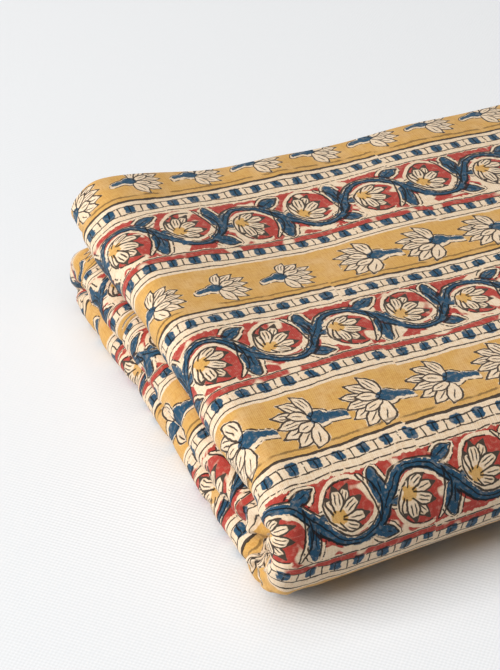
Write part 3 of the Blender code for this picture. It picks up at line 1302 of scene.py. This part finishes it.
@dataclass(frozen=True)
class LotusRows:
    """Lotuses on their sides along the ochre stripes, with blue calyx and stem.

    They are drawn with the calyx at the origin, the petals towards +X and the stem towards -X.
    """

    sizes: PrintSizes = PrintSizes()
    middle: float = 1.7
    lift: float = 0.4
    left_shrink: float = 1.2
    right_shrink: float = 0.97
    gap_half: float = 3.6
    flower: Spray = Spray((
        Petal((3.0, 1.2), (13.8, 4.8), 2.0, 0.4, Veins.PAIR),
        Petal((3.0, -1.4), (13.5, -5.4), 2.2, -0.3),
        Petal((2.0, 2.0), (9.6, 9.4), 2.2, 1.0, Veins.PAIR),
        Petal((2.2, -2.4), (10.8, -9.8), 2.3, -0.5),
        Petal((3.0, 0.0), (13.8, -0.4), 2.2, 0.3, Veins.PAIR),
        Petal((0.6, 2.2), (4.0, 11.8), 2.2, 1.0, Veins.PAIR),
        Petal((0.8, -2.2), (5.0, -12.0), 2.6, -0.8),
        Petal((1.5, 0.8), (8.6, 3.6), 2.0, 0.4),
        Petal((1.5, -1.2), (8.2, -3.6), 2.0, -0.2),
    ))
    calyx: float = 3.2
    calyx_squash: float = 0.85
    calyx_shift: float = 0.6
    stem_middle: float = -5.4
    stem_reach: float = 3.8
    stem_half: float = 1.75
    stem_taper: float = 0.05
    stem_bend: float = 0.018
    outline: float = 1.1
    outline_half: float = 0.28
    outline_ink: Ink = Ink(0.38, 0.08)
    blue_slip: tuple[float, float] = (0.45, -0.55)
    blue_inset: float = 0.2
    blue_wobble: float = 1.4
    petal_cream: float = 0.4
    stem_cream: float = 1.15
    cream_wobble: float = 1.6

    def green(self, dx: Field, dy: Field, slip: tuple[float, float] = (0.0, 0.0),
              inset: float = 0.0) -> Field:
        """Distance outside the calyx, a squashed disc, and the stem, a bent bar with round ends.

        Args:
            dx: place along the lotus.
            dy: place across it.
            slip: how far the shapes are moved.
            inset: how much smaller they are.

        Returns:
            The distance.
        """
        calyx = radius(scaled(dx, self.calyx_squash, self.calyx_shift + slip[0]), dy + slip[1])
        past_bar = most(abs(dx - (self.stem_middle - inset)) - (self.stem_reach - inset), 0.0)
        bent = dy + dx * dx * self.stem_bend + slip[1]
        stem = radius(past_bar, bent) - scaled(dx, self.stem_taper, self.stem_half)
        return least(calyx - (self.calyx - inset), stem)

    def group(self) -> bpy.types.NodeTree:
        """Draw one lotus in each repeat, turned to either side, from its calyx.

        Returns:
            A group with masks of the cream left by the ochre, the blue and the black lines.
        """
        sizes = self.sizes
        board = Board("lotus_rows", "Along", "Across", "Ragged")
        along, across, ragged = board.numbers
        left, right, turn = board.by_row(sizes, across, sizes.row_gap, [
            ((row.stem_left / sizes.lotus) % 1.0, (row.stem_right / sizes.lotus) % 1.0,
             sizes.as_share(row.turn)) for row in LOTUS_ROWS])
        past = along - sizes.as_place(turn)
        turned = above(past, 0.0, SIDE_EDGE)
        plain = fill(self.gap_half - abs(past))
        side = signed(turned)
        phase = left + turned * (right - left)
        cell = wrap(along - phase * sizes.lotus + side * self.middle, sizes.lotus)
        shrink = scaled(turned, self.right_shrink - self.left_shrink, self.left_shrink)
        dx = (self.middle - cell * side) * shrink
        dy = (wrap(across - 1.5 * sizes.row_gap, sizes.band) + self.lift) * shrink
        petals, lines = self.flower.draw(dx, dy)
        green = self.green(dx, dy)
        outline = both(stroke(green - self.outline, self.outline_half), self.outline_ink.takes(ragged),
                       beyond(petals))
        blot = self.green(dx, dy, self.blue_slip, self.blue_inset) + wobble(ragged, self.blue_wobble)
        reserve = least(petals - self.petal_cream, green - self.stem_cream)
        cream = fill(reserve + wobble(ragged, self.cream_wobble), DYE_EDGE)
        return board.give(cream=both(cream, plain), blue=both(fill(blot, DYE_EDGE), plain),
                          line=both(most(lines, outline), plain))


class Spot(NamedTuple):
    """A point of the scroll: its place along it, its place across from the middle, and its inks."""

    along: Field
    across: Field
    ragged: Field
    patchy: Field


class Plant(NamedTuple):
    """The vine and its leaves.

    Middle is where the vine's middle line lies across the scroll. Off vine is the distance from it
    and half is half the vine's width. Leaf and edge are the distances outside the leaves and
    outside both. The last two are masks of the blue and of the black lines.
    """

    middle: Field
    off_vine: Field
    half: Field
    leaf: Field
    edge: Field
    blue: Field
    line: Field


class Roundel(NamedTuple):
    """A roundel and its flower.

    Cell and up are the place along and up it. Disc, petals and crescent are the distances outside
    them. The last two are masks of the ochre heart and of the black lines.
    """

    cell: Field
    up: Field
    disc: Field
    petals: Field
    crescent: Field
    heart: Field
    line: Field


@dataclass(frozen=True)
class VineScroll:
    """The scroll: a blue vine that winds between roundels, each with a flower on red."""

    sizes: PrintSizes = PrintSizes()
    edge: float = 13.7
    vine: tuple[tuple[float, float], ...] = (
        (0.0, 9.3), (0.08, 8.4), (0.17, 4.8), (0.25, 0.6), (0.33, -3.8), (0.41, -7.6), (0.5, -9.3),
        (0.57, -9.2), (0.64, -7.2), (0.70, -3.7), (0.75, 0.0), (0.80, 3.9), (0.86, 7.5), (0.93, 9.3),
        (1.0, 9.3))
    height_span: float = 24.0
    vine_thin: float = 1.2
    vine_thick: float = 2.0
    leaves: Spray = Spray((
        Petal((-2.0, -12.2), (-0.2, 2.4), 2.9, 0.5, Veins.PAIR),
        Petal((-6.6, 6.8), (2.6, 11.8), 2.4, 0.5),
        Petal((1.2, 0.8), (8.4, -0.8), 1.6, 0.6),
    ), tip=Ink(0.93, 0.03), outlined=False)
    blue_slip: float = 0.45
    blue_inset: float = 0.2
    blue_wobble: float = 1.8
    outline_half: float = 0.38
    inner_line: float = 0.35
    inner_half: float = 0.25
    plant_ink: Ink = Ink(0.31, 0.06)
    bract: float = 1.5
    bract_half: float = 0.28
    bract_clear: Ink = Ink(0.5, 0.2)
    bract_ink: Ink = Ink(0.42, 0.08)
    roundel_rise: float = 2.9
    ring: float = 8.5
    ring_half: float = 0.34
    ring_open: float = 3.0
    ring_ink: Ink = Ink(0.3, 0.08)
    ring_cream: float = 1.6
    flower: Spray = Spray((
        Petal((-0.8, 0.6), (-2.4, 7.8), 1.6, -0.5),
        Petal((0.6, 1.0), (6.4, 10.2), 2.0, 0.5, Veins.PAIR),
        Petal((0.0, 1.2), (1.2, 10.6), 2.0, -0.4, Veins.PAIR),
        Petal((1.2, -0.4), (10.6, -1.2), 1.9, -0.2),
        Petal((1.0, 0.4), (9.4, 4.8), 2.1, 0.5, Veins.PAIR),
        Petal((0.4, -1.4), (7.4, -5.4), 1.9, -0.4, Veins.PAIR),
    ), tip=Ink(0.78, 0.03))
    flower_bare: Ink = Ink(1.7, 0.3)
    crescent: Spray = Spray((Petal((5.4, 11.6), (9.2, -5.6), 1.35, 2.2, Veins.NONE),), tip=Ink(1.2, 0.03))
    heart: tuple[float, float] = (-4.6, -0.3)
    heart_radius: float = 2.7
    heart_shift: float = 0.3
    heart_wobble: float = 2.4
    petal_rim: float = 0.3
    red_ink: Ink = Ink(0.36, 0.05)
    red_side: Ink = Ink(-3.4, 0.3)
    red_lean: float = 0.5
    red_wobble: float = 3.0
    spandrel_clear: Ink = Ink(0.45, 0.3)
    spandrel_from: Ink = Ink(3.0, 0.5)
    spandrel_to: float = 13.2
    spandrel_wobble: float = 2.0
    leaf_clear: float = 1.1
    loose_ink: Ink = Ink(0.53, 0.03)
    strip_place: float = 5.6
    strip_half: float = 2.2
    strip_edge: float = 0.5
    strip_top: float = -6.0
    trim_gap: float = 0.7
    trim_half: float = 0.55
    trim_side: Ink = Ink(0.0, 0.2)
    trim_ink: Ink = Ink(0.47, 0.05)
    disc_clear: Ink = Ink(0.6, 0.2)
    disc_rim: float = 0.4

    @property
    def period(self) -> float:
        """Length of one up and one down roundel."""
        return 2.0 * self.sizes.roundel

    def slants(self) -> tuple[tuple[float, float], ...]:
        """Cosine of the vine's slant at each of its points, from the slope between its neighbours."""
        share, height = np.array(self.vine).T
        slope = np.gradient(height, share * self.period)
        return tuple(zip(share.tolist(), (1.0 / np.hypot(1.0, slope)).tolist()))

    def turned(self, along: Field) -> Field:
        """-1 for half a period about the place 0 and 1 for the next half, in turn."""
        return signed(above(nearest(along, self.period), self.sizes.roundel / 2, SIDE_EDGE))

    def plant(self, spot: Spot, bold: Field) -> Plant:
        """Draw the vine and its leaves, which turn upside down in every other cell.

        The vine's middle is a curve drawn over one period. Distances to it are shortened by
        the cosine of its slant.

        Args:
            spot: the point.
            bold: how much thicker the vine is.

        Returns:
            The vine and leaves there.
        """
        cell = self.sizes.roundel
        share = scaled(wrap(spot.along, self.period), 1.0 / self.period, 0.5)
        lift = tuple((at, height / self.height_span + 0.5) for at, height in self.vine)
        middle = wobble(lookup(share, lift), self.height_span)
        off_vine = (spot.across - middle) * lookup(share, self.slants())
        thinning = (self.vine_thin - self.vine_thick) / self.vine[0][1]
        half = scaled(abs(middle), thinning, self.vine_thick) + bold
        leaf, leaf_lines = self.leaves.draw(wrap(spot.along + cell / 2, cell),
                                            spot.across * self.turned(spot.along - cell / 2))
        edge = least(abs(off_vine) - half, leaf)
        blue = least(abs(off_vine + self.blue_slip) - half, leaf + self.blue_inset)
        blue = fill(blue + wobble(spot.ragged, self.blue_wobble), DYE_EDGE)
        bract = both(stroke(leaf - self.bract, self.bract_half), self.bract_clear.takes(edge),
                     self.bract_ink.takes(spot.ragged))
        inner = stroke(off_vine - self.inner_line + bold, self.inner_half)
        line = most(bract, both(most(stroke(edge, self.outline_half), inner, leaf_lines),
                                self.plant_ink.takes(spot.patchy)))
        return Plant(middle, off_vine, half, leaf, edge, blue, line)

    def roundel(self, spot: Spot) -> Roundel:
        """Draw the roundels, upside down in every other cell, each with a flower on its heart.

        Args:
            spot: the point.

        Returns:
            The roundel there.
        """
        cell = wrap(spot.along, self.sizes.roundel)
        up = spot.across * self.turned(spot.along - self.sizes.roundel)
        disc = radius(cell, up - self.roundel_rise) - self.ring
        from_heart = (cell - self.heart[0], up - self.heart[1])
        petals, flower_lines = self.flower.draw(*from_heart)
        heart = radius(from_heart[0] - self.heart_shift, from_heart[1]) - self.heart_radius
        heart = fill(heart + wobble(spot.ragged, self.heart_wobble), DYE_EDGE)
        crescent, crescent_lines = self.crescent.draw(cell, up)
        ring_lines = both(stroke(disc, self.ring_half), self.ring_ink.takes(spot.ragged),
                          fill(cell - self.ring_open))
        flower_lines = both(flower_lines, self.flower_bare.takes(radius(*from_heart)), fill(disc))
        line = most(flower_lines, ring_lines, crescent_lines)
        return Roundel(cell, up, disc, petals, crescent, both(heart, fill(disc)), line)

    def red(self, spot: Spot, plant: Plant, roundel: Roundel) -> Field:
        """Draw the red ground: in the roundels, in loose patches between them and beside the vine.

        Args:
            spot: the point.
            plant: the vine and leaves there.
            roundel: the roundel there.

        Returns:
            Mask of the red.
        """
        takes = self.red_ink.takes(spot.patchy)
        lean = roundel.cell + roundel.up * self.red_lean + wobble(spot.ragged, self.red_wobble)
        ground = both(fill(roundel.disc), beyond(roundel.petals - self.petal_rim),
                      self.red_side.takes(lean), takes)
        from_strip = nearest(spot.along + (self.sizes.roundel - self.strip_place), self.period)
        ragged = wobble(spot.ragged, self.spandrel_wobble)
        strip = both(stroke(from_strip + ragged, self.strip_half, self.strip_edge),
                     fill(spot.across - self.strip_top))
        patches = most(self.spandrel_from.takes(spot.across), self.loose_ink.takes(spot.patchy))
        patches = most(both(patches, beyond(roundel.disc - self.ring_cream)), strip)
        clear = self.spandrel_clear.takes(least(plant.edge, plant.leaf - self.leaf_clear))
        spandrel = both(clear, patches, takes, fill(abs(spot.across) - self.spandrel_to + ragged))
        trim = both(stroke(abs(plant.off_vine) - plant.half - self.trim_gap, self.trim_half),
                    self.trim_side.takes(abs(spot.across) - abs(plant.middle)),
                    self.trim_ink.takes(spot.patchy))
        return both(most(ground, spandrel, trim), beyond(roundel.crescent))

    def group(self) -> bpy.types.NodeTree:
        """Draw the whole scroll.

        Returns:
            A group with masks of the red, the ochre, the blue and the black lines.
        """
        sizes = self.sizes
        board = Board("vine_scroll", "Along", "Across", "Ragged", "Patchy")
        along, across, ragged, patchy = board.numbers
        phase, bold, _ = board.by_row(sizes, across, -sizes.row_gap / 2, [
            ((row.roundel / self.period) % 1.0, row.bold, 0.0) for row in SCROLL_ROWS])
        spot = Spot(along - phase * self.period, wrap(across - sizes.row_gap / 2, sizes.band),
                    ragged, patchy)
        plant = self.plant(spot, bold)
        roundel = self.roundel(spot)
        inside = fill(abs(spot.across) - self.edge)
        line = most(roundel.line, both(plant.line, self.disc_clear.takes(roundel.disc)))
        return board.give(red=both(self.red(spot, plant, roundel), inside), ochre=roundel.heart,
                          blue=both(plant.blue, inside, beyond(roundel.disc - self.disc_rim)),
                          line=both(line, inside))


@dataclass(frozen=True)
class PlainWeave:
    """Threads of the plain weave: their distance apart and their thick places, in millimetres."""

    thread: float = 0.42
    slub: float = 0.5
    slub_stretch: float = 0.12
    slub_height: float = 1.4
    slub_shade: tuple[float, float] = (1.6, -1.3)

    def group(self) -> bpy.types.NodeTree:
        """Raise the warp and weft in turn: the product of two sine waves, roughened by noise.

        Returns:
            A group with the threads' height and how far they darken the cloth.
        """
        board = Board("plain_weave", "Along", "Across")
        along, across = board.numbers
        turns = math.pi / self.thread
        warp, weft = (maths("SINE", place * turns) for place in board.numbers)
        slubs = (board.noise(along * self.slub_stretch, across, self.slub),
                 board.noise(along, across * self.slub_stretch, self.slub))
        first, second = (Field(board.tree, slub.outputs["Fac"]) for slub in slubs)
        height = maths("MULTIPLY_ADD", warp, weft, first * self.slub_height)
        return board.give(height=height, shade=scaled(first + second, *self.slub_shade, clamp=True))


# Numbers of the Mix node's sockets when it mixes colours
MIX_MASK, MIX_BASE, MIX_TINT, MIX_RESULT = 0, 6, 7, 2
THREAD_DEPTH = 0.2 * MM


def linear(colour: tuple[int, int, int]) -> tuple[float, float, float, float]:
    """A screen colour from 0 to 255 as linear light from 0 to 1."""
    values = [value / 255.0 for value in colour]
    light = [value / 12.92 if value <= 0.04045 else ((value + 0.055) / 1.055) ** 2.4 for value in values]
    return (*light, 1.0)


def tinted(base: bpy.types.NodeSocket | tuple[float, ...], mask: Field,
           tint: tuple[float, ...]) -> bpy.types.NodeSocket:
    """Multiply a colour by a tint where a mask is.

    Args:
        base: the colour, plain or from a node.
        mask: where it is tinted, and how much.
        tint: what it is multiplied by.

    Returns:
        The tinted colour.
    """
    node = mask.tree.nodes.new("ShaderNodeMix")
    node.data_type, node.blend_type = "RGBA", "MULTIPLY"
    mask.tree.links.new(mask.socket, node.inputs[MIX_MASK])
    if isinstance(base, tuple):
        node.inputs[MIX_BASE].default_value = base
    else:
        mask.tree.links.new(base, node.inputs[MIX_BASE])
    node.inputs[MIX_TINT].default_value = tint
    return node.outputs[MIX_RESULT]


def matt(name: str, roughness: float, specular: float) -> tuple[bpy.types.Material, bpy.types.Node]:
    """Start a matt material.

    Args:
        name: its name.
        roughness: its roughness.
        specular: its specular level.

    Returns:
        The material and its shader.
    """
    material = bpy.data.materials.new(name)
    material.use_nodes = True
    shader = material.node_tree.nodes["Principled BSDF"]
    shader.inputs["Roughness"].default_value = roughness
    shader.inputs["Specular IOR Level"].default_value = specular
    return material, shader


def raise_threads(shader: bpy.types.Node, height: Field, strength: float) -> None:
    """Bump a surface by the height of its threads.

    Args:
        shader: the surface's shader.
        height: the threads' height.
        strength: how strongly it shows.
    """
    bump = height.tree.nodes.new("ShaderNodeBump")
    bump.inputs["Strength"].default_value = strength
    bump.inputs["Distance"].default_value = THREAD_DEPTH
    height.tree.links.new(height.socket, bump.inputs["Height"])
    height.tree.links.new(bump.outputs[0], shader.inputs["Normal"])


@dataclass(frozen=True)
class PrintedCotton:
    """Finish of the cloth: matt cotton, with dyes that darken it and each other where they meet.

    Uneven and mottled say how a dye's strength follows an ink noise: a factor and what is added.
    """

    cream: tuple[int, int, int] = (230, 208, 180)
    ochre: tuple[int, int, int] = (207, 161, 88)
    red: tuple[int, int, int] = (172, 60, 50)
    blue: tuple[int, int, int] = (27, 72, 100)
    black: tuple[int, int, int] = (37, 26, 22)
    uneven: tuple[float, float] = (0.7, 0.66)
    mottled: tuple[float, float] = (0.5, 0.72)
    line_strength: float = 0.95
    roughness: float = 0.9
    specular: float = 0.25
    sheen: float = 0.12
    bump: float = 0.35
    thread_shade: tuple[float, float, float] = (0.86, 0.76, 0.64)

    def let_through(self, colour: tuple[int, int, int]) -> tuple[float, ...]:
        """How much of each light a dye lets through, so that cream under it takes its colour."""
        return tuple(dyed / plain for dyed, plain in zip(linear(colour), linear(self.cream)))

    def material(self) -> bpy.types.Material:
        """Build the material from the print's groups.

        Returns:
            The printed cotton.
        """
        material, shader = matt("block_printed_cotton", self.roughness, self.specular)
        shader.inputs["Sheen Weight"].default_value = self.sheen
        tree = material.node_tree
        place = tree.nodes.new("ShaderNodeUVMap")
        place.uv_map = CLOTH_MAP
        along, across = (axis * (1.0 / MM) for axis in axes(tree, place.outputs[0]))
        flat = {"Along": along, "Across": across}
        hand = placed(HandPrint().group(), **flat)
        moved = {name: hand[name] for name in ("Along", "Across", "Ragged")}
        lotus = placed(LotusRows().group(), **moved)
        scroll = placed(VineScroll().group(), **moved, Patchy=hand["Patchy"])
        moved["Across"] = hand["Stepped"]
        rows = placed(CheckRows().group(), **moved, Patchy=hand["Patchy"])
        weave = placed(PlainWeave().group(), **flat)
        side = tree.nodes.new("ShaderNodeAttribute")
        side.attribute_name = INK_ATTRIBUTE
        ink = Field(tree, side.outputs["Fac"])

        stripe = rows["Ochre"]
        ochre = most(outside(stripe, lotus["Cream"]), scroll["Ochre"])
        red = most(rows["Red"], scroll["Red"])
        blue = most(rows["Blue"], both(lotus["Blue"], stripe), scroll["Blue"])
        line = most(both(rows["Line"], 1.0 - hand["Bare"]), scroll["Line"], both(lotus["Line"], stripe))
        uneven = scaled(hand["Ragged"], *self.uneven, clamp=True) * ink
        mottled = scaled(hand["Patchy"], *self.mottled, clamp=True) * ink
        colour = linear(self.cream)
        for mask, dye in ((ochre * mottled, self.ochre), (red * uneven, self.red),
                          (blue * uneven, self.blue), (line * ink * self.line_strength, self.black)):
            colour = tinted(colour, mask, self.let_through(dye))
        colour = tinted(colour, weave["Shade"], (*self.thread_shade, 1.0))
        tree.links.new(colour, shader.inputs["Base Color"])
        raise_threads(shader, weave["Height"], self.bump)
        return material


@dataclass(frozen=True)
class Table:
    """The pale table under the cloth, with a faint weave."""

    half_size: float = 6.0
    tone: tuple[int, int, int] = (228, 229, 230)
    roughness: float = 0.85
    specular: float = 0.2
    thread: float = 0.9 * MM
    bump: float = 0.12

    def material(self) -> bpy.types.Material:
        """Matt white, raised a little by the product of two sine waves."""
        material, shader = matt("table_cloth", self.roughness, self.specular)
        shader.inputs["Base Color"].default_value = linear(self.tone)
        tree = material.node_tree
        place = tree.nodes.new("ShaderNodeTexCoord")
        turns = math.pi / self.thread
        warp, weft = (maths("SINE", axis * turns) for axis in axes(tree, place.outputs["Object"]))
        raise_threads(shader, warp * weft, self.bump)
        return material

    def build(self) -> bpy.types.Object:
        """Lay the table under the pad as one flat square."""
        far = self.half_size
        mesh = bpy.data.meshes.new("table")
        mesh.from_pydata([(-far, -far, 0), (far, -far, 0), (far, far, 0), (-far, far, 0)], [], [(0, 1, 2, 3)])
        mesh.materials.append(self.material())
        table = linked("table", mesh)
        return table


def facing(name: str, data: bpy.types.ID, target: np.ndarray, yaw: float, pitch: float,
           distance: float) -> bpy.types.Object:
    """Put a lamp or camera into the scene, looking at a target.

    The line of sight is (sin yaw cos pitch, cos yaw cos pitch, -sin pitch), and the lamp or camera
    lies back along it.

    Args:
        name: its name.
        data: the lamp or camera.
        target: the point it looks at.
        yaw: turn of its sight from +Y towards +X, in degrees.
        pitch: angle of its sight below the horizon, in degrees.
        distance: how far off it is.

    Returns:
        Its object.
    """
    yaw, pitch = math.radians(yaw), math.radians(pitch)
    sight = (math.sin(yaw) * math.cos(pitch), math.cos(yaw) * math.cos(pitch), -math.sin(pitch))
    item = linked(name, data)
    item.location = target - np.array(sight) * distance
    item.rotation_euler = (math.pi / 2 - pitch, 0.0, -yaw)
    return item


@dataclass(frozen=True)
class Lamp:
    """A soft square lamp: where it looks from, how far off, how large and how strong it is."""

    name: str
    yaw: float
    pitch: float
    distance: float
    size: float
    power: float

    def build(self, target: np.ndarray) -> None:
        """Hang the lamp and turn it to the target."""
        data = bpy.data.lights.new(self.name, "AREA")
        data.energy, data.size = self.power, self.size
        facing(self.name, data, target, self.yaw, self.pitch, self.distance)


@dataclass(frozen=True)
class Studio:
    """The photograph's viewing angle and soft light."""

    target: tuple[float, float, float] = (-114 * MM, -9.6 * MM, 48.5 * MM)
    distance: float = 687.65 * MM
    yaw: float = 24.32
    pitch: float = 37.46
    lens: float = 144.0
    sensor: float = 36.0
    sky: float = 0.15
    sky_tone: tuple[float, float, float, float] = (0.98, 0.99, 1.0, 1.0)
    lamps: tuple[Lamp, ...] = (
        Lamp("window", 95.0, 33.0, 3.0, 2.2, 105.0),
        Lamp("overhead", 92.0, 82.0, 3.2, 3.4, 62.0),
    )

    def build(self) -> None:
        """Set the camera, the lamps and the even light from all round."""
        scene = bpy.context.scene
        target = np.array(self.target)
        data = bpy.data.cameras.new("photo_camera")
        data.sensor_fit, data.sensor_width, data.lens = "HORIZONTAL", self.sensor, self.lens
        scene.camera = facing("photo_camera", data, target, self.yaw, self.pitch, self.distance)
        for lamp in self.lamps:
            lamp.build(target)
        world = bpy.data.worlds.new("studio")
        world.use_nodes = True
        light = world.node_tree.nodes["Background"]
        light.inputs["Color"].default_value = self.sky_tone
        light.inputs["Strength"].default_value = self.sky
        scene.world = world
        scene.view_settings.view_transform = "Standard"


def main() -> None:
    """Build the cloth, the table, the light and the camera."""
    logging.basicConfig(level=logging.INFO, format="%(name)s: %(message)s")
    maker = FoldedCloth()
    cloth = maker.build()
    cloth.data.materials.append(PrintedCotton().material())
    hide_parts(CLOTH_NODE)
    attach(cloth, "root")
    LOG.info("%s: %d faces, %.3f by %.3f m flat", cloth.name, len(cloth.data.polygons), *maker.flat_size)
    table = Table().build()
    LOG.info("%s: stage", table.name)
    Studio().build()


if __name__ == "__main__":
    main()
